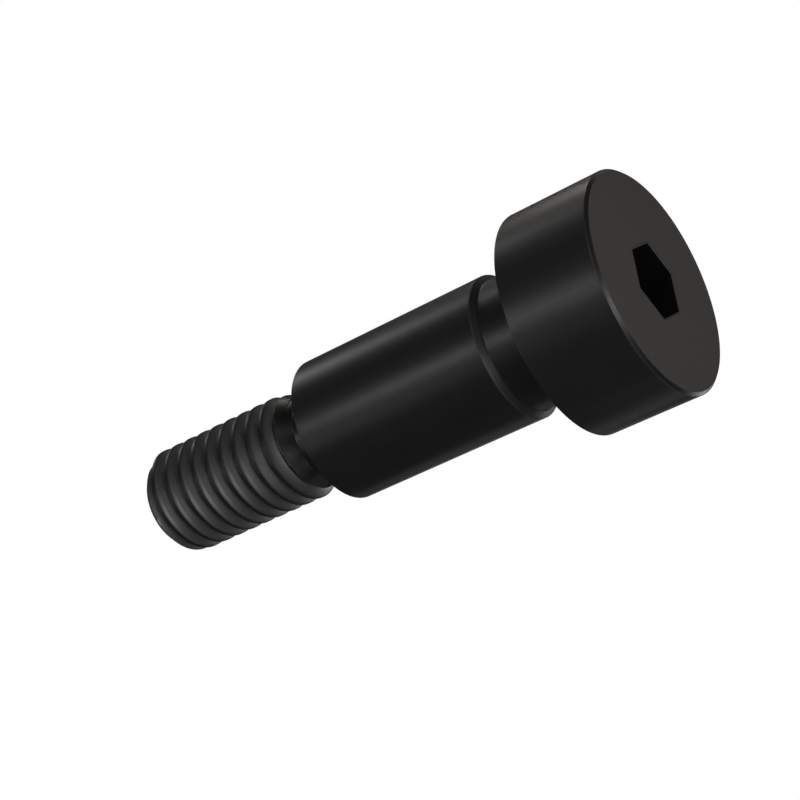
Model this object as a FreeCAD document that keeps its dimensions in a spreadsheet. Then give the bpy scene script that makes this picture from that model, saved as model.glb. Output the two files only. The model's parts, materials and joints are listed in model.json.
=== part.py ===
"""Hexagon socket shoulder bolt: a ground shoulder that a lever or a roller turns on, and an M5 thread.

The bolt stands on its head. The head's face lies on z = 0 around the origin, and the thread points up.
Lengths are in millimetres. The blank is one turned profile; the socket and the thread are cut into it.
"""
import FreeCAD, Part
import Sketcher
import math
import os

NAME = "shoulder_bolt"

# Driving dimensions: name, value, what it measures
SIZES = [
    ("shoulder_diameter", 6.5, "ground shoulder, nominal"),
    ("shoulder_length", 12.0, "underside of the head to the end of the shoulder"),
    ("head_diameter", 9.93, "cylindrical head"),
    ("head_height", 4.44, "face of the head to its underside"),
    ("head_chamfer", 0.135, "45 degree chamfer round the face of the head"),
    ("socket_width", 3.06, "hexagon socket across its flats"),
    ("socket_depth", 2.4, "flat walls of the socket"),
    ("socket_point_angle", 120.0, "included angle of the drilled point below the flats"),
    ("neck_diameter", 6.0, "undercut between the head and the shoulder"),
    ("neck_length", 2.52, "undercut with the cone that ends it"),
    ("neck_cone_angle", 45.0, "cone from the undercut up to the shoulder, from the axis"),
    ("relief_diameter", 3.77, "relief groove between the shoulder and the thread"),
    ("relief_length", 1.12, "straight part of the relief groove"),
    ("relief_angle", 30.0, "taper from the relief groove out to the thread, from the axis"),
    ("thread_diameter", 4.935, "M5 thread over its crests"),
    ("thread_pitch", 0.8, "coarse pitch of M5"),
    ("thread_angle", 60.0, "included angle of the thread groove"),
    ("thread_crest_flat", 0.15, "width of the land between two turns of the groove"),
    ("thread_root_flat", 0.133, "width of the groove at its root"),
    ("thread_length", 9.69, "end of the shoulder to the tip"),
    ("tip_chamfer", 0.53, "45 degree chamfer on the tip"),
]

# The origin as a point of any sketch, and the start of a line
ORIGIN = (-1, 1)
START = 1
END = 2


def make_sheet(doc):
    """Give every driving dimension a named cell, and return the values by name."""
    sheet = doc.addObject("Spreadsheet::Sheet", "Sizes")
    for row, (name, value, meaning) in enumerate(SIZES, start=1):
        sheet.set(f"A{row}", meaning)
        sheet.set(f"B{row}", str(value))
        sheet.setAlias(f"B{row}", name)
    doc.recompute()
    return {name: float(sheet.get(name)) for name, _, _ in SIZES}


def add_sketch(body, name, role):
    """Add a sketch on the origin plane that has this role."""
    sketch = body.newObject("Sketcher::SketchObject", name)
    plane = next(item for item in body.Origin.OriginFeatures if item.Role == role)
    sketch.AttachmentSupport = [(plane, "")]
    sketch.MapMode = "FlatFace"
    return sketch


def add_outline(sketch, points):
    """Draw a closed outline whose line number n starts at point number n."""
    count = len(points)
    vectors = [FreeCAD.Vector(x, y, 0) for x, y in points]
    for index in range(count):
        line = Part.LineSegment(vectors[index], vectors[(index + 1) % count])
        sketch.addGeometry(line, False)
    for index in range(count):
        corner = Sketcher.Constraint("Coincident", index, END, (index + 1) % count, START)
        sketch.addConstraint(corner)


def square_up(sketch, level, upright):
    """Hold the listed lines level or upright."""
    for line in level:
        sketch.addConstraint(Sketcher.Constraint("Horizontal", line))
    for line in upright:
        sketch.addConstraint(Sketcher.Constraint("Vertical", line))


def bind(sketch, name, constraint, formula):
    """Add a dimension that follows a formula on the sheet."""
    index = sketch.addConstraint(constraint)
    sketch.renameConstraint(index, name)
    sketch.setExpression(f"Constraints.{name}", formula)


def across(sketch, name, first, second, formula):
    """Bind how far the second point lies to the right of the first."""
    value = sketch.getPoint(*second).x - sketch.getPoint(*first).x
    bind(sketch, name, Sketcher.Constraint("DistanceX", *first, *second, value), formula)


def upward(sketch, name, first, second, formula):
    """Bind how far the second point lies above the first."""
    value = sketch.getPoint(*second).y - sketch.getPoint(*first).y
    bind(sketch, name, Sketcher.Constraint("DistanceY", *first, *second, value), formula)


def draw_blank(body, v):
    """Draw half of the turned profile, radius to the right and height upward."""
    head = v["head_diameter"] / 2
    neck = v["neck_diameter"] / 2
    shoulder = v["shoulder_diameter"] / 2
    relief = v["relief_diameter"] / 2
    thread = v["thread_diameter"] / 2
    underside = v["head_height"]
    neck_end = underside + v["neck_length"]
    cone_rise = (shoulder - neck) / math.tan(math.radians(v["neck_cone_angle"]))
    shoulder_end = underside + v["shoulder_length"]
    relief_end = shoulder_end + v["relief_length"]
    taper_rise = (thread - relief) / math.tan(math.radians(v["relief_angle"]))
    tip = shoulder_end + v["thread_length"]

    sketch = add_sketch(body, "blank_profile", "XZ_Plane")
    add_outline(sketch, [
        (0, 0),
        (head - v["head_chamfer"], 0),
        (head, v["head_chamfer"]),
        (head, underside),
        (neck, underside),
        (neck, neck_end - cone_rise),
        (shoulder, neck_end),
        (shoulder, shoulder_end),
        (relief, shoulder_end),
        (relief, relief_end),
        (thread, relief_end + taper_rise),
        (thread, tip - v["tip_chamfer"]),
        (thread - v["tip_chamfer"], tip),
        (0, tip),
    ])
    sketch.addConstraint(Sketcher.Constraint("Coincident", 0, START, *ORIGIN))
    square_up(sketch, level=(0, 3, 7, 12), upright=(2, 4, 6, 8, 10, 13))

    across(sketch, "head_radius", ORIGIN, (3, START), "Sizes.head_diameter / 2")
    across(sketch, "neck_radius", ORIGIN, (4, START), "Sizes.neck_diameter / 2")
    across(sketch, "shoulder_radius", ORIGIN, (6, START), "Sizes.shoulder_diameter / 2")
    across(sketch, "relief_radius", ORIGIN, (8, START), "Sizes.relief_diameter / 2")
    across(sketch, "thread_radius", ORIGIN, (10, START), "Sizes.thread_diameter / 2")

    across(sketch, "face_chamfer_across", (1, START), (2, START), "Sizes.head_chamfer")
    upward(sketch, "face_chamfer_up", (1, START), (2, START), "Sizes.head_chamfer")
    upward(sketch, "head_up", ORIGIN, (3, START), "Sizes.head_height")
    upward(sketch, "neck_up", (3, START), (6, START), "Sizes.neck_length")
    upward(sketch, "neck_cone_up", (5, START), (6, START),
           "(Sizes.shoulder_diameter - Sizes.neck_diameter) / 2 / tan(Sizes.neck_cone_angle)")
    upward(sketch, "shoulder_up", (3, START), (7, START), "Sizes.shoulder_length")
    upward(sketch, "relief_up", (8, START), (9, START), "Sizes.relief_length")
    upward(sketch, "relief_taper_up", (9, START), (10, START),
           "(Sizes.thread_diameter - Sizes.relief_diameter) / 2 / tan(Sizes.relief_angle)")
    upward(sketch, "thread_up", (7, START), (12, START), "Sizes.thread_length")
    across(sketch, "tip_chamfer_across", (12, START), (11, START), "Sizes.tip_chamfer")
    upward(sketch, "tip_chamfer_up", (11, START), (12, START), "Sizes.tip_chamfer")
    return sketch


def draw_hexagon(body, v):
    """Draw the socket's hexagon, with two flats upright and a corner at the top."""
    radius = v["socket_width"] / 2 / math.cos(math.radians(30))
    turns = [math.radians(90 - 60 * corner) for corner in range(6)]

    sketch = add_sketch(body, "socket_hexagon", "XY_Plane")
    add_outline(sketch, [(radius * math.cos(a), radius * math.sin(a)) for a in turns])
    circle = sketch.addGeometry(Part.Circle(FreeCAD.Vector(), FreeCAD.Vector(0, 0, 1), radius), True)
    sketch.addConstraint(Sketcher.Constraint("Coincident", circle, 3, *ORIGIN))
    for corner in range(6):
        sketch.addConstraint(Sketcher.Constraint("PointOnObject", corner, START, circle))
    for side in range(1, 6):
        sketch.addConstraint(Sketcher.Constraint("Equal", 0, side))
    sketch.addConstraint(Sketcher.Constraint("Vertical", 1))
    bind(sketch, "corner_radius", Sketcher.Constraint("Radius", circle, radius),
         "Sizes.socket_width / 2 / cos(30)")
    return sketch


def draw_socket_point(body, v):
    """Draw half of the drilled point that lies below the socket's flats."""
    radius = v["socket_width"] / 2
    floor = v["socket_depth"]
    point = radius / math.tan(math.radians(v["socket_point_angle"] / 2))

    sketch = add_sketch(body, "socket_point_profile", "XZ_Plane")
    add_outline(sketch, [(0, floor), (radius, floor), (0, floor + point)])
    sketch.addConstraint(Sketcher.Constraint("PointOnObject", 0, START, -2))
    square_up(sketch, level=(0,), upright=(2,))
    upward(sketch, "floor_up", ORIGIN, (0, START), "Sizes.socket_depth")
    across(sketch, "point_radius", ORIGIN, (1, START), "Sizes.socket_width / 2")
    upward(sketch, "point_up", (0, START), (2, START),
           "Sizes.socket_width / 2 / tan(Sizes.socket_point_angle / 2)")
    return sketch


def draw_thread_cutter(body, v):
    """Draw the thread's groove where it starts, in the middle of the relief groove.

    Its flanks run on outside the crests, until half of the land between two turns is left.
    """
    slope = math.tan(math.radians(v["thread_angle"] / 2))
    root_flat = v["thread_root_flat"]
    mouth = v["thread_pitch"] - v["thread_crest_flat"] / 2
    root = v["thread_diameter"] / 2 - (v["thread_pitch"] - v["thread_crest_flat"] - root_flat) / 2 / slope
    outside = root + (mouth - root_flat) / 2 / slope
    centre = v["head_height"] + v["shoulder_length"] + v["relief_length"] / 2

    sketch = add_sketch(body, "thread_cutter_profile", "XZ_Plane")
    add_outline(sketch, [
        (root, centre - root_flat / 2),
        (outside, centre - mouth / 2),
        (outside, centre + mouth / 2),
        (root, centre + root_flat / 2),
    ])
    square_up(sketch, level=(), upright=(1, 3))
    sketch.addConstraint(Sketcher.Constraint("Equal", 0, 2))
    across(sketch, "root_radius", ORIGIN, (0, START),
           "Sizes.thread_diameter / 2 - (Sizes.thread_pitch - Sizes.thread_crest_flat"
           " - Sizes.thread_root_flat) / 2 / tan(Sizes.thread_angle / 2)")
    across(sketch, "flank_across", (0, START), (1, START),
           "(Sizes.thread_pitch - Sizes.thread_crest_flat / 2 - Sizes.thread_root_flat)"
           " / 2 / tan(Sizes.thread_angle / 2)")
    upward(sketch, "root_flat", (0, START), (3, START), "Sizes.thread_root_flat")
    upward(sketch, "mouth", (1, START), (2, START),
           "Sizes.thread_pitch - Sizes.thread_crest_flat / 2")
    upward(sketch, "start_up", ORIGIN, (0, START),
           "Sizes.head_height + Sizes.shoulder_length + Sizes.relief_length / 2"
           " - Sizes.thread_root_flat / 2")
    return sketch


def turn_blank(doc, body, v):
    """Turn the profile about the bolt's axis."""
    sketch = draw_blank(body, v)
    blank = body.newObject("PartDesign::Revolution", "turned_blank")
    blank.Profile = sketch
    blank.ReferenceAxis = (sketch, ["V_Axis"])
    blank.Angle = 360
    doc.recompute()
    return blank


def cut_socket(doc, body, v):
    """Cut the hexagon into the head's face, and the drilled point below it."""
    flats = body.newObject("PartDesign::Pocket", "socket_flats")
    flats.Profile = draw_hexagon(body, v)
    flats.Reversed = True
    flats.setExpression("Length", "Sizes.socket_depth")
    doc.recompute()

    sketch = draw_socket_point(body, v)
    point = body.newObject("PartDesign::Groove", "socket_point")
    point.Profile = sketch
    point.ReferenceAxis = (sketch, ["V_Axis"])
    point.Angle = 360
    doc.recompute()
    return [flats, point]


def cut_thread(doc, body, v):
    """Cut the right-hand thread from the relief groove out past the tip."""
    sketch = draw_thread_cutter(body, v)
    thread = body.newObject("PartDesign::SubtractiveHelix", "thread")
    thread.Profile = sketch
    thread.ReferenceAxis = (sketch, ["V_Axis"])
    thread.Mode = "pitch-height-angle"
    thread.LeftHanded = False
    thread.Angle = 0
    thread.setExpression("Pitch", "Sizes.thread_pitch")
    thread.setExpression("Height", "Sizes.thread_length - Sizes.relief_length / 2 + Sizes.thread_pitch")
    doc.recompute()
    return thread


def check(doc, body, stages):
    """Stop if an object failed, a shape is unsound or a cut took nothing away."""
    for item in doc.Objects:
        if {"Invalid", "Error"} & set(item.State):
            raise RuntimeError(f"{item.Label} failed: {item.State}")
    if body.Shape.isNull() or not body.Shape.isValid() or len(body.Shape.Solids) != 1:
        raise RuntimeError(f"{body.Label} is not one sound solid")
    for before, after in zip(stages, stages[1:]):
        if after.Shape.Volume >= before.Shape.Volume:
            raise RuntimeError(f"{after.Label} cut nothing")
        print(f"{after.Label}: {before.Shape.Volume:.3f} -> {after.Shape.Volume:.3f} mm3")


def main():
    """Build the bolt and write it to the parts folder."""
    doc = FreeCAD.newDocument("Bolt")
    v = make_sheet(doc)
    body = doc.addObject("PartDesign::Body", NAME)
    blank = turn_blank(doc, body, v)
    cuts = cut_socket(doc, body, v)
    thread = cut_thread(doc, body, v)
    check(doc, body, [blank, *cuts, thread])

    os.makedirs("parts", exist_ok=True)
    body.Shape.exportStep(f"parts/{body.Label}.step")
    box = body.Shape.optimalBoundingBox()
    print(f"{body.Label}: {box.XLength:.3f} x {box.YLength:.3f} x {box.ZLength:.3f} mm,"
          f" {len(body.Shape.Faces)} faces")


main()
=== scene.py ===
"""Looks of a black oxide shoulder bolt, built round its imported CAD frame.

The bolt stands on its head: the head's face lies on z = 0, and the thread points up. The photo shows it
from the side of its head, so its camera stands below the floor, which can't be seen from underneath.
Lengths are in metres. A size written in millimetres is multiplied by MM.
"""

import json
import logging
import math
from collections.abc import Sequence
from dataclasses import dataclass, field
from enum import Enum

import bpy
import numpy as np
from mathutils import Matrix, Vector

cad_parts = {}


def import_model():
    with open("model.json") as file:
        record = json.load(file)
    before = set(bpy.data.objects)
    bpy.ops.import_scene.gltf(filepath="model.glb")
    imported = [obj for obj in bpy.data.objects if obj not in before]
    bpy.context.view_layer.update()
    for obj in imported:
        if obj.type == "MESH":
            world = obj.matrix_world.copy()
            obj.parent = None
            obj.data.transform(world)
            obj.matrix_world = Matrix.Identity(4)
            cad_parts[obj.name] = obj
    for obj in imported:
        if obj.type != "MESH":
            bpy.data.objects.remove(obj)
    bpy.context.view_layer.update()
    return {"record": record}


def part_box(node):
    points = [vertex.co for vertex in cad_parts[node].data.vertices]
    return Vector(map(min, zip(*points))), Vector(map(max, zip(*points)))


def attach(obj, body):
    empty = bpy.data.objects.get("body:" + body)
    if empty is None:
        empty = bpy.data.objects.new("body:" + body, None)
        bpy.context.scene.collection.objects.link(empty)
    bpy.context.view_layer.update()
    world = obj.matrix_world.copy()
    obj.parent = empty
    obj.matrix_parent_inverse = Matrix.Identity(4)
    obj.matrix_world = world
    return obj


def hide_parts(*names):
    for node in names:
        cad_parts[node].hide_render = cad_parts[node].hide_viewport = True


Rgb = tuple[float, float, float]
Rgba = tuple[float, float, float, float]

MM = 0.001
FULL_TURN = 2 * math.pi
NODE = "shoulder_bolt"
SLOT = "black_oxide_steel"
NEUTRAL: Rgb = (1.0, 1.0, 1.0)
WARM: Rgb = (1.0, 0.91, 0.84)
WHITE: Rgba = (1.0, 1.0, 1.0, 1.0)
# Range in which most values of a smooth noise lie, and of a rough one.
NOISE_SPAN = (0.35, 0.65)
SPECK_SPAN = (0.3, 0.7)

LOG = logging.getLogger("shoulder_bolt")


class Finish(Enum):
    """How a stretch of the bolt's surface was cut, which sets the depth of its grain and its gloss."""

    SOCKET = 0.0
    FORMED = 0.25
    TURNED = 0.5
    GROUND = 0.75
    THREADED = 1.0


@dataclass(frozen=True)
class Corner:
    """A corner of the turned outline.

    Attributes:
        r: Distance from the axis.
        z: Height.
        round: Radius of the small arc that breaks the corner, 0 for none.
        finish: Finish of the stretch that starts here.
        thin: How far the oxide is rubbed thin on the arc, from 0 to 1.
    """

    r: float
    z: float
    round: float
    finish: Finish
    thin: float = 0.0


@dataclass
class Rings:
    """Rows of the surface from the socket's point to the relief groove, one value per row.

    Attributes:
        flat: Distance from the axis at the middle of a hexagon's side, or the radius of a round row.
        z: Height.
        hexagon: 1 where the row is a hexagon, 0 where it is a circle.
        thin: How far the oxide is rubbed thin.
        finish: Value of the row's finish.
    """

    flat: list[float] = field(default_factory=list)
    z: list[float] = field(default_factory=list)
    hexagon: list[float] = field(default_factory=list)
    thin: list[float] = field(default_factory=list)
    finish: list[float] = field(default_factory=list)

    def add(self, flat: float, z: float, hexagon: float, thin: float, finish: Finish) -> None:
        """Add one row.

        Args:
            flat: Distance from the axis at the middle of a side.
            z: Height.
            hexagon: Share of the hexagon in the row's shape.
            thin: How far the oxide is rubbed thin.
            finish: The row's finish.
        """
        self.flat.append(flat)
        self.z.append(z)
        self.hexagon.append(hexagon)
        self.thin.append(thin)
        self.finish.append(finish.value)


def soft_min(a: np.ndarray, b: np.ndarray, width: float) -> np.ndarray:
    """Smaller of two surfaces, with the edge where they cross rounded.

    It is min(a, b) less the square of what |a - b| lacks to the width, over four widths.

    Args:
        a: First surface.
        b: Second surface.
        width: Difference below which the edge is round.

    Returns:
        The rounded minimum.
    """
    near = np.maximum(width - np.abs(a - b), 0.0)
    return np.minimum(a, b) - near**2 / (4 * width)


def soft_max(a: np.ndarray, b: np.ndarray, width: float) -> np.ndarray:
    """Larger of two surfaces, with the edge where they cross rounded.

    Args:
        a: First surface.
        b: Second surface.
        width: Difference below which the edge is round.

    Returns:
        The rounded maximum.
    """
    return -soft_min(-a, -b, width)


def ring_quads(rows: int, columns: int) -> np.ndarray:
    """Quads of a grid whose rows close on themselves.

    Args:
        rows: Number of rows of points.
        columns: Points in a row.

    Returns:
        Four point numbers for each quad: up from the lower row, on to the next column, and down.
    """
    low = np.arange(rows - 1)[:, None] * columns
    high = low + columns
    column = np.arange(columns)
    beside = (column + 1) % columns
    return np.stack([low + column, high + column, high + beside, low + beside], axis=-1).reshape(-1, 4)


def add_object(name: str, data: bpy.types.ID) -> bpy.types.Object:
    """Make an object at the origin and link it to the scene.

    Args:
        name: Its name.
        data: Its mesh, camera or light.

    Returns:
        The new object.
    """
    made = bpy.data.objects.new(name, data)
    bpy.context.scene.collection.objects.link(made)
    return made


@dataclass
class ShoulderBolt:
    """The bolt: one turned piece with a hexagon socket and a cut thread.

    Attributes:
        tip: Height of the thread's end, from the frame.
        head_radius: From the frame.
        underside: Height of the head, from the record's seat.
        shoulder_end: Height of the shoulder's end, from the record's seat.
        shoulder_radius: From the record's pin.
        face_chamfer: Width of the chamfer round the head's face.
        socket_flat: From the axis to the middle of a side of the socket.
        socket_depth: From the head's face to the socket's floor.
        socket_point_angle: Full angle of the drilled point.
        drilled_share: Radius of the drilled point over socket_flat.
        mouth_round: Radius of the arc round the socket's mouth.
        mouth_thin: How far the oxide is rubbed thin there.
        neck_radius: Of the undercut below the head.
        neck_end: Height at which the neck's cone meets the shoulder.
        relief_radius: Of the groove between shoulder and thread.
        relief_length: Of its round part.
        relief_angle: Between its taper and the axis.
        crest_radius: Of the thread.
        pitch: Climb of the thread in one turn.
        flank_angle: Between a flank and a plane across the axis.
        crest_flat: Width of a crest.
        root_flat: Width of a root.
        tip_chamfer: Width of the chamfer at the tip, at 45 degrees.
        edge_width: Difference in radius below which an edge of the thread is round.
        root_fade: Climb over which the flanks' painted sheen rises above a root.
        crest_fade: Climb over which it falls away below a crest.
        sheen_drop_to_crest: How much less painted sheen a flank has at its top than at its foot, where it
            lifts the groove's shade, up to 1.
        line_width: Half the width of the rubbed line on a crest's edge.
        line_thin: How far the oxide is rubbed thin on that line.
        line_depth: Depth below the crests at which the line ends.
        columns: Points round the bolt.
        arc_steps: Steps of each small arc.
        flank_rows: Rows on a flank, with one on its lower edge.
        crest_rows: Rows on half a crest, with one on its edge.
        root_rows: Rows on half a root, with that same one on its edge.
        edge_step: Distance of the rows beside an edge from it, over edge_width.
        corner_step: Distance of the row beside each small arc.
        longest_step: Greatest distance between rows of the turned outline.
        relief_start: How far the turned outline reaches into the relief groove.
        end_slope: How fast rows go inwards on the tip's flat end, over what they would climb.
        point_rows: Rows of the drilled point, from its tip, over its radius.
        floor_rows: Rows of the socket's floor, from the point to the wall.
        wall_rows: Rows of the socket's wall over its depth, from the floor up.
        face_rows: Rows of the head's face, from the socket's mouth to the chamfer.
        face_blend: How fast they turn from a hexagon into a circle.
        sharp_angle: Angle between faces from which an edge is shaded sharp.
    """

    tip: float
    head_radius: float
    underside: float
    shoulder_end: float
    shoulder_radius: float

    face_chamfer: float = 0.135 * MM
    socket_flat: float = 1.53 * MM
    socket_depth: float = 2.4 * MM
    socket_point_angle: float = math.radians(120)
    drilled_share: float = 0.98
    mouth_round: float = 0.04 * MM
    mouth_thin: float = 0.5
    neck_radius: float = 3.0 * MM
    neck_end: float = 6.96 * MM
    relief_radius: float = 1.885 * MM
    relief_length: float = 1.12 * MM
    relief_angle: float = math.radians(30)
    crest_radius: float = 2.4675 * MM
    pitch: float = 0.8 * MM
    flank_angle: float = math.radians(30)
    crest_flat: float = 0.15 * MM
    root_flat: float = 0.133 * MM
    tip_chamfer: float = 0.53 * MM

    edge_width: float = 0.02 * MM
    root_fade: float = 0.02 * MM
    crest_fade: float = 0.04 * MM
    sheen_drop_to_crest: float = 0.85
    line_width: float = 0.03 * MM
    line_thin: float = 0.07
    line_depth: float = 0.06 * MM

    columns: int = 192
    arc_steps: int = 4
    flank_rows: int = 10
    crest_rows: int = 4
    root_rows: int = 4
    edge_step: float = 0.6
    corner_step: float = 0.05 * MM
    longest_step: float = 1.2 * MM
    relief_start: float = 0.15 * MM
    end_slope: float = 0.5
    point_rows: tuple[float, ...] = (0.0, 0.3, 0.65, 0.97, 1.0)
    floor_rows: tuple[float, ...] = (0.5, 1.0)
    wall_rows: tuple[float, ...] = (0.985, 0.75, 0.5, 0.25, 0.06)
    face_rows: tuple[float, ...] = (0.015, 0.06, 0.15, 0.3, 0.5, 0.7, 0.9)
    face_blend: int = 6
    sharp_angle: float = math.radians(32)

    def outline(self) -> list[Corner]:
        """Corners of the turned outline.

        Returns:
            The corners, from the face of the head to the relief groove.
        """
        crisp, broken, eased, fillet = 0.015 * MM, 0.03 * MM, 0.04 * MM, 0.06 * MM
        rubbed = 0.3
        cone_rise = self.shoulder_radius - self.neck_radius
        turned, formed, ground = Finish.TURNED, Finish.FORMED, Finish.GROUND
        return [
            Corner(self.head_radius - self.face_chamfer, 0.0, broken, turned, rubbed),
            Corner(self.head_radius, self.face_chamfer, eased, turned, rubbed),
            Corner(self.head_radius, self.underside, crisp, turned),
            Corner(self.neck_radius, self.underside, fillet, turned),
            Corner(self.neck_radius, self.neck_end - cone_rise, broken, formed),
            Corner(self.shoulder_radius, self.neck_end, eased, ground, rubbed),
            Corner(self.shoulder_radius, self.shoulder_end, crisp, turned),
            Corner(self.relief_radius, self.shoulder_end, fillet, turned),
        ]

    def socket_rings(self, rings: Rings) -> None:
        """Add the rows of the drilled point, the hexagon's floor, its walls and its mouth.

        Args:
            rings: Rows to add to, empty so far.
        """
        shaded_socket = Finish.SOCKET
        floor = self.socket_depth
        drilled = self.drilled_share * self.socket_flat
        point = drilled / math.tan(self.socket_point_angle / 2)
        for share in self.point_rows:
            rings.add(share * drilled, floor + (1 - share) * point, 0.0, 0.0, shaded_socket)
        for share in self.floor_rows:
            flat = drilled + share * (self.socket_flat - drilled)
            rings.add(flat, floor, share, 0.0, shaded_socket)
        for share in self.wall_rows:
            rings.add(self.socket_flat, share * floor, 1.0, 0.0, shaded_socket)
        mouth = self.mouth_round
        for turn in np.linspace(0, math.pi / 2, self.arc_steps + 1):
            flat = self.socket_flat + mouth * (1 - math.cos(turn))
            thin = self.mouth_thin * math.sin(2 * turn)
            rings.add(flat, mouth * (1 - math.sin(turn)), 1.0, thin, shaded_socket)

    def face_rings(self, rings: Rings) -> None:
        """Add the rows of the head's face, which open from the hexagon to a circle.

        Args:
            rings: Rows to add to.
        """
        start = rings.flat[-1]
        end = self.head_radius - self.face_chamfer
        for share in self.face_rows:
            at_mouth = share == self.face_rows[0]
            hexagon = 1.0 if at_mouth else (1 - share) ** self.face_blend
            rings.add(start + share * (end - start), 0.0, hexagon, 0.0, Finish.TURNED)

    def turned_rings(self, rings: Rings) -> None:
        """Add the rows of the turned outline, each corner as an arc with a row close to both its ends.

        The arc's ends lie its radius times the tangent of half the turn before and after the corner. Its
        centre lies one radius beside the first end, and the arm from there is spun through the turn.

        Args:
            rings: Rows to add to.
        """
        corners = self.outline()
        before = np.array([rings.flat[-1], rings.z[-1]])
        end = Corner(self.relief_radius, self.shoulder_end + self.relief_start, 0.0, Finish.TURNED)
        for corner, after in zip(corners, [*corners[1:], end]):
            here = np.array([corner.r, corner.z])
            came = (here - before) / np.linalg.norm(here - before)
            leaves = np.array([after.r, after.z]) - here
            leaves = leaves / np.linalg.norm(leaves)
            turn = math.atan2(came[0] * leaves[1] - came[1] * leaves[0], float(came @ leaves))
            cut = corner.round * math.tan(abs(turn) / 2)
            finish = Finish(rings.finish[-1])
            self.stretch(rings, here - (cut + self.corner_step) * came, finish)
            side = math.copysign(1.0, turn)
            arm = -side * corner.round * np.array([-came[1], came[0]])
            centre = here - cut * came - arm
            for share in np.linspace(0, 1, self.arc_steps + 1):
                angle = share * turn
                spun = np.array([
                    arm[0] * math.cos(angle) - arm[1] * math.sin(angle),
                    arm[0] * math.sin(angle) + arm[1] * math.cos(angle),
                ])
                thin = corner.thin * math.sin(math.pi * share)
                rings.add(*(centre + spun), 0.0, thin, finish)
            before = here + (cut + self.corner_step) * leaves
            rings.add(*before, 0.0, 0.0, corner.finish)

    def stretch(self, rings: Rings, goal: np.ndarray, finish: Finish) -> None:
        """Add evenly spaced rows on a straight line from the last row to a point.

        Args:
            rings: Rows to add to.
            goal: Radius and height of the last new row.
            finish: Finish of the rows.
        """
        start = np.array([rings.flat[-1], rings.z[-1]])
        steps = max(1, math.ceil(np.linalg.norm(goal - start) / self.longest_step))
        for share in np.arange(1, steps + 1) / steps:
            point = start + share * (goal - start)
            rings.add(*point, 0.0, 0.0, finish)

    @staticmethod
    def ring_points(rings: Rings, angle: np.ndarray) -> np.ndarray:
        """Points of the rows below the thread.

        A hexagon with its sides at a distance d from the axis has the radius d / cos(a), where a is the
        angle from the middle of the nearest side. A row mixes that with a circle of radius d.

        Args:
            rings: The rows.
            angle: Azimuth of each column.

        Returns:
            Array of rows by columns by 3.
        """
        flat, z, hexagon = (np.array(values)[:, None] for values in (rings.flat, rings.z, rings.hexagon))
        sixth = math.pi / 3
        off_side = np.mod(angle + sixth / 2, sixth) - sixth / 2
        radius = flat * (1 - hexagon + hexagon / np.cos(off_side))
        height = np.broadcast_to(z, radius.shape)
        return np.stack([radius * np.cos(angle), radius * np.sin(angle), height], axis=-1)

    def thread_depth(self) -> float:
        """Depth of the thread, from its pitch, its two flats and the slope of its flanks."""
        return (self.pitch - self.crest_flat - self.root_flat) / 2 / math.tan(self.flank_angle)

    def row_offsets(self) -> np.ndarray:
        """Heights of the rows of one turn above the middle of a crest, the same for each turn.

        The edge of a crest and of a root has a row on it and one close to each side.

        Returns:
            The heights, from 0 to less than a pitch.
        """
        half = self.pitch / 2
        near = self.edge_step * self.edge_width
        crest_end = self.crest_flat / 2
        root_start = half - self.root_flat / 2
        rising = np.concatenate([
            np.linspace(0, crest_end - near, self.crest_rows - 1),
            [crest_end],
            np.linspace(crest_end + near, root_start - near, self.flank_rows - 1),
            [root_start],
            np.linspace(root_start + near, half, self.root_rows - 1),
        ])
        return np.concatenate([rising, (self.pitch - rising[1:-1])[::-1]])

    def thread_surface(
        self, height: np.ndarray, angle: np.ndarray
    ) -> tuple[np.ndarray, np.ndarray, np.ndarray]:
        """Radius of the thread, its painted flank sheen with the wear on its crests, and the finish.

        The radius is the least of four surfaces: the crests' cylinder, the groove that climbs one pitch
        a turn, the taper of the relief groove and the chamfer of the tip.

        Args:
            height: Height of each point.
            angle: Azimuth of each point.

        Returns:
            The radius, the flank sheen with the crest wear, and the finish's value, all shaped as the
            points.
        """
        root_middle = self.shoulder_end + self.relief_length / 2 + self.pitch * angle / FULL_TURN
        from_root = np.abs(np.mod(height - root_middle + self.pitch / 2, self.pitch) - self.pitch / 2)
        depth = self.thread_depth()
        width = self.edge_width
        flank = (from_root - self.root_flat / 2) / math.tan(self.flank_angle)
        climb = soft_min(soft_max(flank, np.zeros_like(flank), width), np.full_like(flank, depth), width)
        groove = self.crest_radius - depth + climb
        past_relief = height - self.shoulder_end - self.relief_length
        taper = self.relief_radius + np.maximum(past_relief, 0.0) * math.tan(self.relief_angle)
        past_chamfer = height - self.tip + self.tip_chamfer
        cone = self.crest_radius - np.maximum(past_chamfer, 0.0)
        radius = soft_min(soft_min(groove, taper, width), cone, width)
        thin = self.flank_sheen_and_crest_wear(radius, from_root, climb)
        finish = np.where(radius > groove - width, Finish.THREADED.value, Finish.TURNED.value)
        return radius, thin, finish

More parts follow.
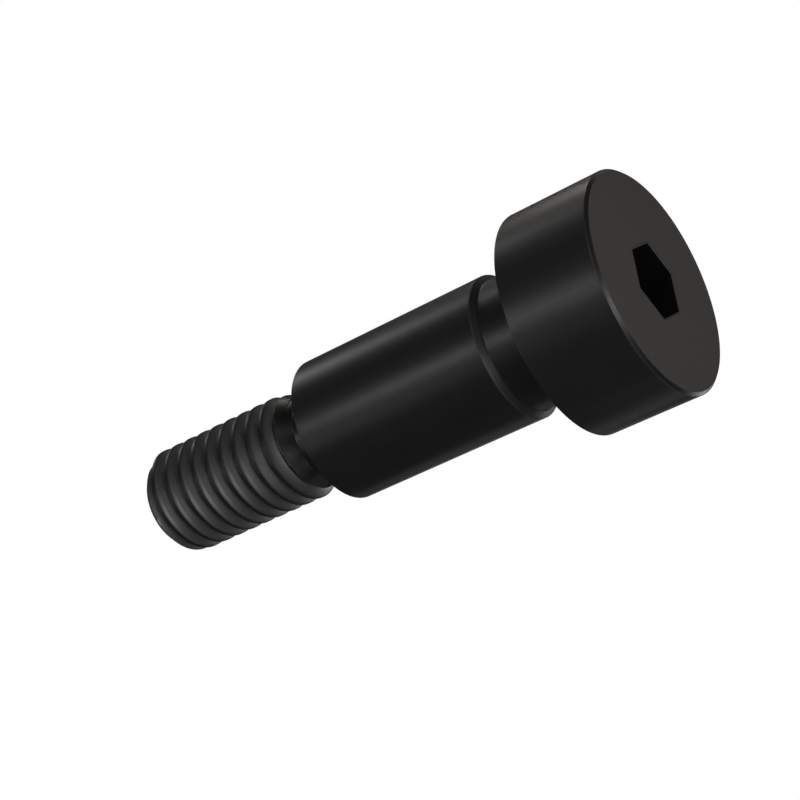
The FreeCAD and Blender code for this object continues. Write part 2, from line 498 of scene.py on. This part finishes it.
    def flank_sheen_and_crest_wear(self, radius: np.ndarray, from_root: np.ndarray, climb: np.ndarray) -> np.ndarray:
        """Painted sheen on the thread's flanks, and the wear on the edges of its crests.

        The sheen is steel shown on a flank, strongest at its foot, where it lifts the groove's shade.

        On a flank it is 1 less sheen_drop_to_crest times the square of the climb's share of the depth. It
        falls to 0 at the flats, and is 0 where the taper or the chamfer has cut the flank away. A narrow
        bell of line_thin lies on each edge of a crest, as far as that edge is still on the outside.

        Args:
            radius: Radius of each point.
            from_root: Distance along the axis from the middle of the nearest root.
            climb: Height of the groove's own surface above the root.

        Returns:
            The sheen and the wear, from 0 to 1.
        """
        depth = self.thread_depth()
        groove = self.crest_radius - depth + climb
        off_flats = np.minimum(climb / self.root_fade, (depth - climb) / self.crest_fade)
        uncut = radius > groove - 0.5 * self.edge_width
        # Painted sheen: steel shows on the flanks, most at their foot, where it lifts the groove's shade.
        flank = np.clip(off_flats, 0.0, 1.0) * (1 - self.sheen_drop_to_crest * (climb / depth) ** 2) * uncut
        off_edge = from_root - self.pitch / 2 + self.crest_flat / 2
        line = np.exp(-((off_edge / self.line_width) ** 2))
        outside = np.clip((radius - self.crest_radius + self.line_depth) / self.line_depth, 0.0, 1.0)
        return np.maximum(flank, self.line_thin * line * outside)

    def thread_points(
        self, angle: np.ndarray
    ) -> tuple[np.ndarray, np.ndarray, np.ndarray, np.ndarray]:
        """Points of the thread. A row climbs one pitch a turn, and goes on as the row one turn higher.

        What a row lacks in room above the tip it goes inwards on the tip's flat end. In each column the
        row that is nearest the flat's edge is moved onto it.

        Args:
            angle: Azimuth of each column.

        Returns:
            Points as rows by columns by 3, the flank sheen with the crest wear, the finish's value and
            the distance that the grain is measured along.
        """
        lowest = self.shoulder_end + self.relief_length / 2 - self.pitch / 2
        turns = math.ceil((self.tip - lowest) / self.pitch) + 1
        base = lowest + (self.pitch * np.arange(turns)[:, None] + self.row_offsets()).reshape(-1)
        past = base[:, None] + self.pitch * angle / FULL_TURN - self.tip
        nearest = np.argmin(np.abs(past), axis=0)
        past[nearest, np.arange(len(angle))] = 0.0
        past = past[base < self.tip + self.pitch]
        height = np.minimum(past + self.tip, self.tip)
        azimuth = np.broadcast_to(angle, height.shape)
        radius, thin, finish = self.thread_surface(height, azimuth)
        inwards = np.maximum(past, 0.0)
        radius = radius - self.end_slope * inwards
        points = np.stack([radius * np.cos(azimuth), radius * np.sin(azimuth), height], axis=-1)
        return points, thin * (past <= 0), finish, radius + inwards

    def faces(self, ring_rows: int, thread_rows: int) -> list[tuple[int, ...]]:
        """Faces of the whole surface, from the socket's point to the flat end of the tip.

        Point 0 is the socket's point, and the rows follow it. The last column of a thread's row joins the
        first column of the row one turn higher, so the thread starts and ends in a step along that seam.
        One face closes the step below the thread, and one is the flat that is left in the tip.

        Args:
            ring_rows: Rows below the thread, without the socket's point.
            thread_rows: Rows of the thread.

        Returns:
            Corner numbers of each face, in the order that makes it point outwards.
        """
        count = self.columns
        turn = len(self.row_offsets())
        column = np.arange(count)
        beside = (column + 1) % count
        thread = 1 + (ring_rows + np.arange(thread_rows)[:, None]) * count

        point = np.stack([np.zeros(count, int), 1 + beside, 1 + column], axis=1)
        body = 1 + ring_quads(ring_rows, count)[:, [0, 3, 2, 1]]

        turn_up = np.where(column == count - 1, turn * count, 0)
        low, high = thread[: -turn - 1], thread[1:-turn]
        low_beside, high_beside = low + beside + turn_up, high + beside + turn_up
        under = np.stack([low + column, low_beside, high + column], axis=-1).reshape(-1, 3)
        over = np.stack([low_beside, high_beside, high + column], axis=-1).reshape(-1, 3)

        top, first = 1 + (ring_rows - 1) * count, 1 + ring_rows * count
        skirt = np.stack([top + column, top + beside, first + beside, first + column], axis=1)
        seam = [first + row * count for row in range(turn + 1)]
        step = (top + count - 1, top, *seam, first + count - 1)

        last_row = thread_rows - turn - 1
        end = thread[last_row] + column
        end_seam = thread[last_row + turn:last_row:-1, 0]
        parts = [point, body, under, over, skirt[:-1]]
        faces = [tuple(face) for part in parts for face in part.tolist()]
        return [*faces, step, (*end.tolist(), *end_seam.tolist())]

    def build(self) -> bpy.types.Object:
        """Build the closed mesh of the bolt.

        Its attributes are "thin", how far steel shows, from wear on edges and as painted sheen on the
        thread's flanks; "cut", the finish's value; and "run", the distance along the outline in
        millimetres.

        Returns:
            The new object, linked to the scene.
        """
        angle = FULL_TURN * np.arange(self.columns) / self.columns
        rings = Rings()
        self.socket_rings(rings)
        self.face_rings(rings)
        self.turned_rings(rings)
        below = self.ring_points(rings, angle)
        above, thread_sheen_and_wear, thread_finish, thread_run = self.thread_points(angle)

        step = np.linalg.norm(np.diff(np.stack([rings.flat, rings.z], axis=1), axis=0), axis=1)
        run = np.concatenate([[0.0], np.cumsum(step)])
        points = np.concatenate([below[0, :1], below[1:].reshape(-1, 3), above.reshape(-1, 3)])
        mesh = bpy.data.meshes.new(f"{NODE}_finish")
        mesh.from_pydata(points.tolist(), [], self.faces(len(rings.z) - 1, len(above)))
        mesh.validate()
        values = {
            "thin": (rings.thin, thread_sheen_and_wear),
            "cut": (rings.finish, thread_finish),
            "run": (run / MM, thread_run / MM),
        }
        for name, (by_row, by_point) in values.items():
            rows = np.repeat(by_row[1:], self.columns)
            layer = mesh.attributes.new(name, "FLOAT", "POINT")
            whole = np.concatenate([[by_row[0]], rows, by_point.ravel()])
            layer.data.foreach_set("value", whole.astype(np.float32))
        mesh.shade_smooth()
        mesh.set_sharp_from_angle(angle=self.sharp_angle)
        return add_object(f"{NODE}_finish", mesh)

    @staticmethod
    def dress(bolt: bpy.types.Object) -> None:
        """Give the bolt its finish, hang it on the root body, and hide the CAD part that it replaces.

        Args:
            bolt: The bolt's object.
        """
        bolt.data.materials.append(BlackOxide().material())
        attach(bolt, "root")
        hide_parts(NODE)


class Shader:
    """A node tree with short calls for adding and joining nodes."""

    def __init__(self, tree: bpy.types.NodeTree) -> None:
        """Start with an empty tree.

        Args:
            tree: The material's, world's or group's tree.
        """
        self.tree = tree
        tree.nodes.clear()

    def add(
        self, kind: str, /, inputs: dict[int | str, object] | None = None, **settings: object
    ) -> bpy.types.Node:
        """Add a node.

        Args:
            kind: Its type.
            inputs: Values or sockets to put into its inputs, by name or number.
            settings: Properties of the node.

        Returns:
            The node.
        """
        node = self.tree.nodes.new(kind)
        for name, value in settings.items():
            setattr(node, name, value)
        for name, value in (inputs or {}).items():
            if isinstance(value, bpy.types.NodeSocket):
                self.tree.links.new(value, node.inputs[name])
            else:
                node.inputs[name].default_value = value
        return node

    def math(self, operation: str, first: object, second: object = 0.0) -> bpy.types.NodeSocket:
        """Work out one number from two.

        Args:
            operation: Name of the operation.
            first: A value or a socket.
            second: A value or a socket.

        Returns:
            The socket with the result.
        """
        return self.add("ShaderNodeMath", {0: first, 1: second}, operation=operation).outputs[0]

    def times(self, first: object, second: object) -> bpy.types.NodeSocket:
        """Multiply two numbers."""
        return self.math("MULTIPLY", first, second)

    def total(self, first: object, *others: object) -> bpy.types.NodeSocket:
        """Add numbers up, in their order.

        Args:
            first: A value or a socket.
            others: More of them, at least one.

        Returns:
            The socket with the sum.
        """
        for other in others:
            first = self.math("ADD", first, other)
        return first

    def remap(
        self, value: object, low: float, high: float, start: float = 0.0, end: float = 1.0
    ) -> bpy.types.NodeSocket:
        """Map a number from one range to another.

        Args:
            value: A value or a socket.
            low: Result at the start.
            high: Result at the end.
            start: Start of the first range.
            end: End of the first range.

        Returns:
            The socket with the result.
        """
        inputs = {"Value": value, "From Min": start, "From Max": end, "To Min": low, "To Max": high}
        return self.add("ShaderNodeMapRange", inputs).outputs[0]

    def blend(self, share: object, first: object, second: object) -> bpy.types.NodeSocket:
        """Mix two colours.

        Args:
            share: Share of the second, a value or a socket.
            first: A colour or a socket.
            second: A colour or a socket.

        Returns:
            The socket with the result.
        """
        first_colour, second_colour, result_colour = 6, 7, 2
        inputs = {"Factor": share, first_colour: first, second_colour: second}
        return self.add("ShaderNodeMix", inputs, data_type="RGBA").outputs[result_colour]


def new_material(name: str) -> tuple[bpy.types.Material, Shader]:
    """Make a material with an empty tree.

    Args:
        name: Its name.

    Returns:
        The material and a shader on its tree.
    """
    made = bpy.data.materials.new(name)
    made.use_nodes = True
    return made, Shader(made.node_tree)


def new_group(
    name: str, numbers: Sequence[str], results: Sequence[str]
) -> tuple[bpy.types.NodeTree, Shader]:
    """Make a shader node group with number sockets.

    Args:
        name: Name of the group.
        numbers: Names of its inputs.
        results: Names of its outputs.

    Returns:
        The group and a shader on it.
    """
    group = bpy.data.node_groups.new(name, "ShaderNodeTree")
    for label in numbers:
        group.interface.new_socket(label, in_out="INPUT", socket_type="NodeSocketFloat")
    for label in results:
        group.interface.new_socket(label, in_out="OUTPUT", socket_type="NodeSocketFloat")
    return group, Shader(group)


def make_tool_grain() -> bpy.types.NodeTree:
    """Group for the fine lines that a lathe tool or a grinding wheel leaves round the bolt.

    A point's direction from the axis and its distance along the outline make a coordinate in which lines
    run round the bolt. Noise in that coordinate gives each line its height and makes it fade and return.

    Returns:
        The group.
    """
    group, shader = new_group("tool_grain", ("Lines per mm", "Run", "Waves round"), ("Height",))
    given = shader.add("NodeGroupInput").outputs
    place = shader.add("ShaderNodeTexCoord").outputs["Object"]
    off_axis = (1.0, 1.0, 0.0)
    flat = shader.add("ShaderNodeVectorMath", {0: place, 1: off_axis}, operation="MULTIPLY").outputs[0]
    way = shader.add("ShaderNodeVectorMath", {0: flat}, operation="NORMALIZE").outputs[0]
    parts = shader.add("ShaderNodeSeparateXYZ", {0: way}).outputs
    drift = shader.add("ShaderNodeCombineXYZ", {
        0: shader.times(parts[0], given["Waves round"]),
        1: shader.times(parts[1], given["Waves round"]),
        2: shader.times(given["Run"], given["Lines per mm"]),
    }).outputs[0]
    noise = shader.add("ShaderNodeTexNoise", {
        "Vector": drift, "Scale": 1.0, "Detail": 3.0, "Roughness": 0.6,
    }).outputs[0]
    shader.add("NodeGroupOutput", {"Height": noise})
    return group


def make_mottle() -> bpy.types.NodeTree:
    """Group for the cloudy tone of an oxide film: wide soft patches with fine specks in them.

    Returns:
        The group.
    """
    group, shader = new_group("oxide_mottle", ("Patch scale", "Speck scale"), ("Patches", "Specks"))
    given = shader.add("NodeGroupInput").outputs
    place = shader.add("ShaderNodeTexCoord").outputs["Object"]
    patches = shader.add("ShaderNodeTexNoise", {
        "Vector": place, "Scale": given["Patch scale"], "Detail": 3.0, "Roughness": 0.55,
    }).outputs[0]
    specks = shader.add("ShaderNodeTexNoise", {
        "Vector": place, "Scale": given["Speck scale"], "Detail": 2.0, "Roughness": 0.7,
    }).outputs[0]
    shader.add("NodeGroupOutput", {"Patches": patches, "Specks": specks})
    return group


@dataclass(frozen=True)
class BlackOxide:
    """Black oxide on hardened steel, oiled: nearly black and satin.

    Where the film is rubbed thin on edges, the steel shows through it as a dark metal. The thread's
    flanks and the neck's cone show that steel as painted sheen, which lifts the shade on them. It then
    takes its shine from the metal, and hardly more light from its colour.

    Attributes:
        dark: Colour of the film where it is thickest.
        light: Colour of the film where it is thinnest.
        socket_shade_colour: Painted shade: the near-black colour given to the socket for the shade in its
            recess.
        steel: Colour of the steel seen through a thin film, and of the painted sheen.
        steel_share: How metallic the surface is there.
        steel_rise: Power of the film's thinness with which the metal comes up.
        socket_shade_metal: How metallic the socket is, which takes the gloss from its painted shade.
        smooth: Least roughness.
        rough: Greatest roughness.
        steel_rough: What a thin film adds to the roughness.
        thread_rough: What the thread adds to the roughness.
        socket_rough: What the socket adds to the roughness.
        formed_rough: What the form tool adds to the roughness of the neck's cone.
        cone_sheen: Painted sheen on the neck's cone, shown as thinner film, that lifts the head's shade
            there.
        cloudy_thin: Share of the film's thinness that is left in a thick patch.
        patch_tone: Share of the patches in the film's tone.
        grain_tone: Share of the tool's lines in it.
        patch_scale: How small the patches are.
        speck_scale: How small the specks are.
        lines_per_mm: Of the tool, along the outline.
        waves_round: How often a line fades and returns round the bolt.
        grain_strength: Of the bump that the lines make.
        grain_height: Its height.
        socket_grain: Its share in the socket, from which it grows to the thread's 1.
        refraction: Of the film.
    """

    dark: Rgba = (0.0130, 0.0128, 0.0124, 1.0)
    light: Rgba = (0.0170, 0.0167, 0.0161, 1.0)
    socket_shade_colour: Rgba = (0.0020, 0.0020, 0.0020, 1.0)
    steel: Rgba = (0.370, 0.366, 0.359, 1.0)
    steel_share: float = 0.92
    steel_rise: float = 0.25
    socket_shade_metal: float = 0.6
    smooth: float = 0.33
    rough: float = 0.40
    steel_rough: float = 0.02
    thread_rough: float = 0.08
    socket_rough: float = 0.45
    formed_rough: float = 0.10
    cone_sheen: float = 0.15
    cloudy_thin: float = 0.85
    patch_tone: float = 0.6
    grain_tone: float = 0.4
    patch_scale: float = 350.0
    speck_scale: float = 9000.0
    lines_per_mm: float = 14.0
    waves_round: float = 3.0
    grain_strength: float = 0.12
    grain_height: float = 0.02 * MM
    socket_grain: float = 0.4
    refraction: float = 1.5

    def material(self) -> bpy.types.Material:
        """Build the material.

        Returns:
            The new material.
        """
        made, shader = new_material(f"{SLOT}_finish")
        # The "thin" attribute holds wear on edges and painted sheen on the thread's flanks.
        run, cut, rubbed = (
            shader.add("ShaderNodeAttribute", attribute_name=name).outputs["Fac"]
            for name in ("run", "cut", "thin")
        )
        grain = shader.add("ShaderNodeGroup", {
            "Lines per mm": self.lines_per_mm, "Run": run, "Waves round": self.waves_round,
        }, node_tree=make_tool_grain()).outputs["Height"]
        mottle = shader.add("ShaderNodeGroup", {
            "Patch scale": self.patch_scale, "Speck scale": self.speck_scale,
        }, node_tree=make_mottle()).outputs

        shaded_socket = shader.remap(cut, 1.0, 0.0, Finish.SOCKET.value, Finish.FORMED.value)
        off_formed = shader.math("ABSOLUTE", shader.math("SUBTRACT", cut, Finish.FORMED.value))
        formed = shader.remap(off_formed, 1.0, 0.0, 0.0, Finish.TURNED.value - Finish.FORMED.value)
        # Painted sheen: the neck's cone shows steel to lift its shade; edges show it from wear.
        wear_and_sheen = shader.math("MAXIMUM", rubbed, shader.times(formed, self.cone_sheen))
        thin = shader.times(wear_and_sheen, shader.remap(mottle["Patches"], self.cloudy_thin, 1.0, *NOISE_SPAN))

        tone = shader.total(shader.times(mottle["Patches"], self.patch_tone),
                            shader.times(grain, self.grain_tone))
        film = shader.blend(shader.remap(tone, 0.0, 1.0, *NOISE_SPAN), self.dark, self.light)
        # Painted shade: the socket's film is made near black for the shade in its recess.
        film = shader.blend(shaded_socket, film, self.socket_shade_colour)
        shown = shader.times(shader.math("POWER", thin, self.steel_rise), self.steel_share)
        bump = shader.add("ShaderNodeBump", {
            "Strength": self.grain_strength,
            "Distance": self.grain_height,
            "Height": shader.times(grain, shader.remap(cut, self.socket_grain, 1.0)),
        }).outputs[0]
        surface = shader.add("ShaderNodeBsdfPrincipled", {
            "Base Color": shader.blend(thin, film, self.steel),
            # Painted shade: a metallic share dims the socket's gloss.
            "Metallic": shader.math("MAXIMUM", shown, shader.times(shaded_socket, self.socket_shade_metal)),
            "Roughness": shader.total(
                shader.times(thin, self.steel_rough),
                shader.times(shaded_socket, self.socket_rough),
                shader.times(formed, self.formed_rough),
                shader.remap(cut, 0.0, self.thread_rough, Finish.GROUND.value, Finish.THREADED.value),
                shader.remap(mottle["Specks"], self.smooth, self.rough, *SPECK_SPAN),
            ),
            "Normal": bump,
            "IOR": self.refraction,
        }).outputs[0]
        shader.add("ShaderNodeOutputMaterial", {"Surface": surface})
        return made


@dataclass(frozen=True)
class Softbox:
    """A round softbox, placed by two angles as seen from the bolt.

    Attributes:
        name: Its name.
        around: Degrees round the bolt from the camera's side, positive towards -X.
        height: Degrees above the horizon.
        spread: Degrees from its middle to its rim.
        level: How bright its face is, where 1 is white.
        tint: Colour of its light.
    """

    name: str
    around: float
    height: float
    spread: float
    level: float
    tint: Rgb = NEUTRAL

    def towards(self) -> Vector:
        """Direction from the bolt to the softbox."""
        around, height = math.radians(self.around), math.radians(self.height)
        return Vector((
            -math.sin(around) * math.cos(height),
            -math.cos(around) * math.cos(height),
            math.sin(height),
        ))


@dataclass
class Studio:
    """The photo's camera, a pale floor, a white surround, black cards and soft lamps.

    Attributes:
        middle: Point that the camera and the lamps look at.
        lens: Focal length of the camera in its own millimetres.
        sensor_width: Of the camera, in the same.
        nearest: Distance from which the camera sees.
        farthest: Distance up to which it sees.
        camera_distance: From the middle.
        camera_dip: How far below the horizon the camera stands, seen from the bolt.
        camera_roll: How far the bolt's axis leans from the picture's upright, clockwise.
        lamp_distance: From the middle to each lamp.
        ambient: Strength of the surround's light on matt surfaces.
        overhead: Strength of the soft light from above, which lights the floor.
        overhead_lean: How far that light leans towards the camera's side.
        overhead_angle: How wide it looks from the bolt.
        card_distance: From the middle to the black cards.
        card_step: Degrees from one edge of a card to the next.
        card_colour: Of the cards.
        floor_colour: Of the floor's paper.
        fibre_colour: Of the fibres in it.
        fibre_scale: How small they are.
        fibre_share: Greatest share of their colour.
        floor_radius: Of the floor.
        floor_hole: Radius of its hole under the head.
        floor_fade: Share of its radius from which it fades.
        floor_columns: Points round the floor.
        floor_rows: Rows of points from its hole to its rim.
        lamps: The softboxes.
    """

    middle: Vector = field(default_factory=lambda: Vector((0.0, 0.0, 13.05 * MM)))
    lens: float = 98.86
    sensor_width: float = 36.0
    nearest: float = 1 * MM
    farthest: float = 10.0
    camera_distance: float = 94.6 * MM
    camera_dip: float = math.radians(29.58)
    camera_roll: float = math.radians(115.0)
    lamp_distance: float = 0.4
    ambient: float = 0.17
    overhead: float = 0.9
    overhead_lean: float = math.radians(15.0)
    overhead_angle: float = math.radians(30)
    card_distance: float = 0.6
    card_step: int = 5
    card_colour: Rgba = (0.004, 0.004, 0.004, 1.0)
    floor_colour: Rgba = (0.8, 0.8, 0.79, 1.0)
    fibre_colour: Rgba = (0.76, 0.76, 0.75, 1.0)
    fibre_scale: float = 900.0
    fibre_share: float = 0.3
    floor_radius: float = 0.3
    floor_hole: float = 4.83 * MM
    floor_fade: float = 0.3
    floor_columns: int = 96
    floor_rows: int = 24
    lamps: tuple[Softbox, ...] = (
        Softbox("low_front", 8.0, -50.0, 7.0, 11.0),
        Softbox("lower_front", 8.0, -38.0, 7.0, 3.5),
        Softbox("underneath", 10.0, -75.0, 7.0, 10.2),
        Softbox("front_high", -22.5, 26.0, 6.0, 6.6),
        Softbox("front_steep", 2.5, 38.0, 6.0, 2.4),
        Softbox("side_back", -130.0, 14.0, 6.0, 6.8, WARM),
        Softbox("side_high", -117.5, 38.0, 6.0, 5.0),
        Softbox("side", -105.0, 26.0, 6.0, 1.7),
        Softbox("low_back", 180.0, -38.0, 13.0, 0.78, WARM),
        Softbox("back", 180.0, 12.0, 9.0, 1.0),
        Softbox("back_high", 165.0, 27.0, 8.0, 0.54),
        Softbox("far_side_high", 135.0, 27.0, 8.0, 0.26),
        Softbox("far_side_back", 120.0, 12.0, 9.0, 0.5),
        Softbox("far_side", 90.0, 12.0, 9.0, 0.35),
        Softbox("far_side_low", 100.0, -16.0, 12.0, 0.4),
        Softbox("far_back_fill", 153.0, -9.0, 10.0, 2.6),
        Softbox("side_back_fill", -153.0, -9.0, 10.0, 0.5),
        Softbox("right_fill", 45.0, -8.0, 11.0, 1.6),
        Softbox("left_fill", -45.0, -8.0, 11.0, 1.6),
        Softbox("roof", 0.0, 90.0, 35.0, 0.13),
    )

    def place_camera(self) -> bpy.types.Object:
        """Put the camera where the photo was taken from, below the floor and rolled.

        Returns:
            The camera.
        """
        data = bpy.data.cameras.new("photo_camera")
        data.sensor_width = self.sensor_width
        data.lens = self.lens
        data.clip_start = self.nearest
        data.clip_end = self.farthest
        camera = add_object("photo_camera", data)
        back = Vector((0.0, -math.cos(self.camera_dip), -math.sin(self.camera_dip)))
        axis_up = Vector((0.0, -math.sin(self.camera_dip), math.cos(self.camera_dip)))
        across = axis_up.cross(back)
        up = math.cos(self.camera_roll) * axis_up + math.sin(self.camera_roll) * across
        right = up.cross(back)
        turn = Matrix((right, up, back)).transposed().to_4x4()
        camera.matrix_world = Matrix.Translation(self.middle + self.camera_distance * back) @ turn
        bpy.context.scene.camera = camera
        return camera

    def surround(self) -> None:
        """Make the world white to the camera and in reflections, and a soft light for the rest."""
        world = bpy.data.worlds.new("surround")
        world.use_nodes = True
        bpy.context.scene.world = world
        shader = Shader(world.node_tree)
        path = shader.add("ShaderNodeLightPath").outputs
        mirrored = shader.math("MAXIMUM", path["Is Glossy Ray"], path["Is Transmission Ray"])
        seen = shader.math("MAXIMUM", path["Is Camera Ray"], mirrored)
        strength = shader.remap(seen, self.ambient, 1.0)
        light = shader.add("ShaderNodeBackground", {"Color": WHITE, "Strength": strength}).outputs[0]
        shader.add("ShaderNodeOutputWorld", {"Surface": light})

    @staticmethod
    def put_up(name: str, points: np.ndarray, material: bpy.types.Material) -> bpy.types.Object:
        """Build a piece of the studio from rows of points that close on themselves.

        Args:
            name: Its name.
            points: Array of rows by columns by 3.
            material: Its material.

        Returns:
            The piece.
        """
        mesh = bpy.data.meshes.new(name)
        quads = ring_quads(points.shape[0], points.shape[1])
        mesh.from_pydata(points.reshape(-1, 3).tolist(), [], quads.tolist())
        mesh.materials.append(material)
        return add_object(name, mesh)

    def lay_floor(self) -> bpy.types.Object:
        """Lay a pale floor that fades into the white surround and can't be seen from below.

        It takes the bolt's shadow. Light from under it and the bolt's own reflections pass through it, as
        in the photo, where the bolt has no floor.

        Returns:
            The floor, a flat ring with its hole under the head.
        """
        angle = FULL_TURN * np.arange(self.floor_columns) / self.floor_columns
        radius = np.geomspace(self.floor_hole, self.floor_radius, self.floor_rows)[:, None]
        x, y = radius * np.cos(angle), radius * np.sin(angle)
        floor = self.put_up("floor", np.stack([x, y, np.zeros_like(x)], axis=-1), self.floor_material())
        floor.visible_glossy = False
        floor.visible_diffuse = False
        floor.visible_shadow = False
        return floor

    def floor_material(self) -> bpy.types.Material:
        """Make a matt pale paper that is clear from behind and towards its rim.

        Returns:
            The material.
        """
        made, shader = new_material("pale_floor")
        place = shader.add("ShaderNodeTexCoord").outputs["Object"]
        fibres = shader.add("ShaderNodeTexNoise", {
            "Vector": place, "Scale": self.fibre_scale, "Detail": 2.0,
        }).outputs[0]
        share = shader.remap(fibres, 0.0, self.fibre_share)
        colour = shader.blend(share, self.floor_colour, self.fibre_colour)
        paper = shader.add("ShaderNodeBsdfDiffuse", {"Color": colour}).outputs[0]
        clear = shader.add("ShaderNodeBsdfTransparent").outputs[0]
        behind = shader.add("ShaderNodeNewGeometry").outputs["Backfacing"]
        away = shader.add("ShaderNodeVectorMath", {0: place}, operation="LENGTH").outputs["Value"]
        rim = shader.remap(away, 0.0, 1.0, self.floor_fade * self.floor_radius, self.floor_radius)
        hidden = shader.math("MAXIMUM", behind, rim)
        mixed = shader.add("ShaderNodeMixShader", {0: hidden, 1: paper, 2: clear}).outputs[0]
        shader.add("ShaderNodeOutputMaterial", {"Surface": mixed})
        return made

    def put_up_cards(self) -> bpy.types.Object:
        """Put up the black cards round the bolt that its polished surface mirrors between the lamps.

        The photo's bolt is dark wherever it doesn't mirror a lamp, though its background is white. The
        cards are a closed ball of facets round the bolt and the lamps, and only reflections see them.

        Returns:
            The cards.
        """
        height = np.radians(np.arange(-90, 91, self.card_step))[:, None]
        around = np.radians(np.arange(0, 360, self.card_step))
        ball = np.stack([
            -np.sin(around) * np.cos(height),
            -np.cos(around) * np.cos(height),
            np.sin(height) * np.ones_like(around),
        ], axis=-1)
        made, shader = new_material("black_card")
        paper = shader.add("ShaderNodeBsdfDiffuse", {"Color": self.card_colour}).outputs[0]
        shader.add("ShaderNodeOutputMaterial", {"Surface": paper})
        cards = self.put_up("black_cards", self.card_distance * ball + np.array(self.middle), made)
        cards.visible_camera = False
        cards.visible_diffuse = False
        cards.visible_shadow = False
        cards.visible_transmission = False
        return cards

    def light_floor(self) -> bpy.types.Object:
        """Light the floor from above, as softly as a wide softbox does.

        Returns:
            The lamp, which polished surfaces don't mirror.
        """
        data = bpy.data.lights.new("overhead", "SUN")
        data.energy = self.overhead * math.pi
        data.angle = self.overhead_angle
        lamp = add_object("overhead", data)
        lamp.rotation_euler = (-self.overhead_lean, 0.0, 0.0)
        lamp.visible_glossy = False
        return lamp

    def hang_lamp(self, lamp: Softbox) -> bpy.types.Object:
        """Hang one softbox, with its face turned to the bolt.

        Its power is its level times the square of pi times its radius, so that its face has that level.

        Args:
            lamp: The softbox.

        Returns:
            The lamp.
        """
        radius = self.lamp_distance * math.tan(math.radians(lamp.spread))
        data = bpy.data.lights.new(lamp.name, "AREA")
        data.shape = "DISK"
        data.size = 2 * radius
        data.energy = lamp.level * math.pi**2 * radius**2
        data.color = lamp.tint
        hung = add_object(lamp.name, data)
        towards = lamp.towards()
        place = self.middle + self.lamp_distance * towards
        hung.matrix_world = Matrix.LocRotScale(place, towards.to_track_quat("Z", "Y"), None)
        hung.visible_camera = False
        return hung

    def build(self) -> None:
        """Build the whole studio, and report its pieces."""
        self.surround()
        pieces = [self.place_camera(), self.lay_floor(), self.put_up_cards(), self.light_floor()]
        pieces += [self.hang_lamp(lamp) for lamp in self.lamps]
        for piece in pieces:
            LOG.info("studio: %s", piece.name)


def read_sizes(record: dict) -> dict[str, float]:
    """Take the bolt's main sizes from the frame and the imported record.

    Args:
        record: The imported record.

    Returns:
        Sizes in metres by the names that ShoulderBolt uses.
    """
    _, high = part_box(NODE)
    mounts = {mount["name"]: mount for mount in record["mounts"]}
    return {
        "tip": high.z,
        "head_radius": high.x,
        "underside": mounts["head_seat"]["pos_m"][2],
        "shoulder_end": mounts["shoulder_seat"]["pos_m"][2],
        "shoulder_radius": mounts["shoulder"]["dims"]["r_mm"] * MM,
    }


def main() -> None:
    """Build the bolt and the studio."""
    logging.basicConfig(level=logging.INFO, format="%(name)s: %(message)s")
    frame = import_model()

    shoulder_bolt = ShoulderBolt(**read_sizes(frame["record"]))
    bolt = shoulder_bolt.build()
    shoulder_bolt.dress(bolt)
    LOG.info("%s: %d faces", bolt.name, len(bolt.data.polygons))

    Studio().build()

    bpy.context.scene.view_settings.view_transform = "Standard"


if __name__ == "__main__":
    main()
